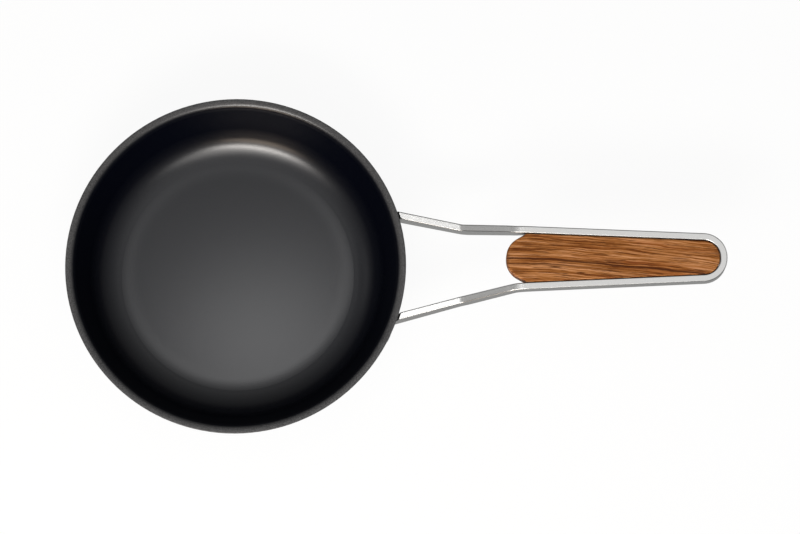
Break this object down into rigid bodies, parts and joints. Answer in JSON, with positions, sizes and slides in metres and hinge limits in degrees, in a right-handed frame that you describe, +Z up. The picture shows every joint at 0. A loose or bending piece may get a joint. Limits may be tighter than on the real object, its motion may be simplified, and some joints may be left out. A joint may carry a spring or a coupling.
{
  "type": "omelette pan",
  "caption": "Round black non-stick omelette pan with a looped stainless bar handle and a wooden grip set into the loop.",
  "frame": {"origin": "centre of the base's underside, on the surface that the pan stands on", "axes": "+X from the bowl's middle along the handle, +Y to the right of a cook who holds the handle and faces the bowl, +Z up out of the bowl"},
  "size_m": [0.3869, 0.2, 0.059],
  "materials": {
    "nonstick_aluminium": "satin black non-stick coating, inside and out",
    "disc_steel": "ground stainless",
    "handle_steel": "satin stainless, fine grain along the bar",
    "bracket_steel": "plain stainless sheet",
    "stud_aluminium": "bare",
    "fastener_steel": "turned stainless",
    "grip_wood": "oiled, dark streaks along the grip",
    "insert_brass": "turned"
  },
  "bodies": {
    "root": {"pan_body": "nonstick_aluminium", "induction_disc": "disc_steel", "handle_frame": "handle_steel", "right_bracket": "bracket_steel", "left_bracket": "bracket_steel", "weld_studs": "stud_aluminium", "stud_nuts": "fastener_steel", "tang_plate": "bracket_steel", "upper_scale": "grip_wood", "lower_scale": "grip_wood", "scale_screws": "fastener_steel", "scale_inserts": "insert_brass"}
  },
  "joints": []
}
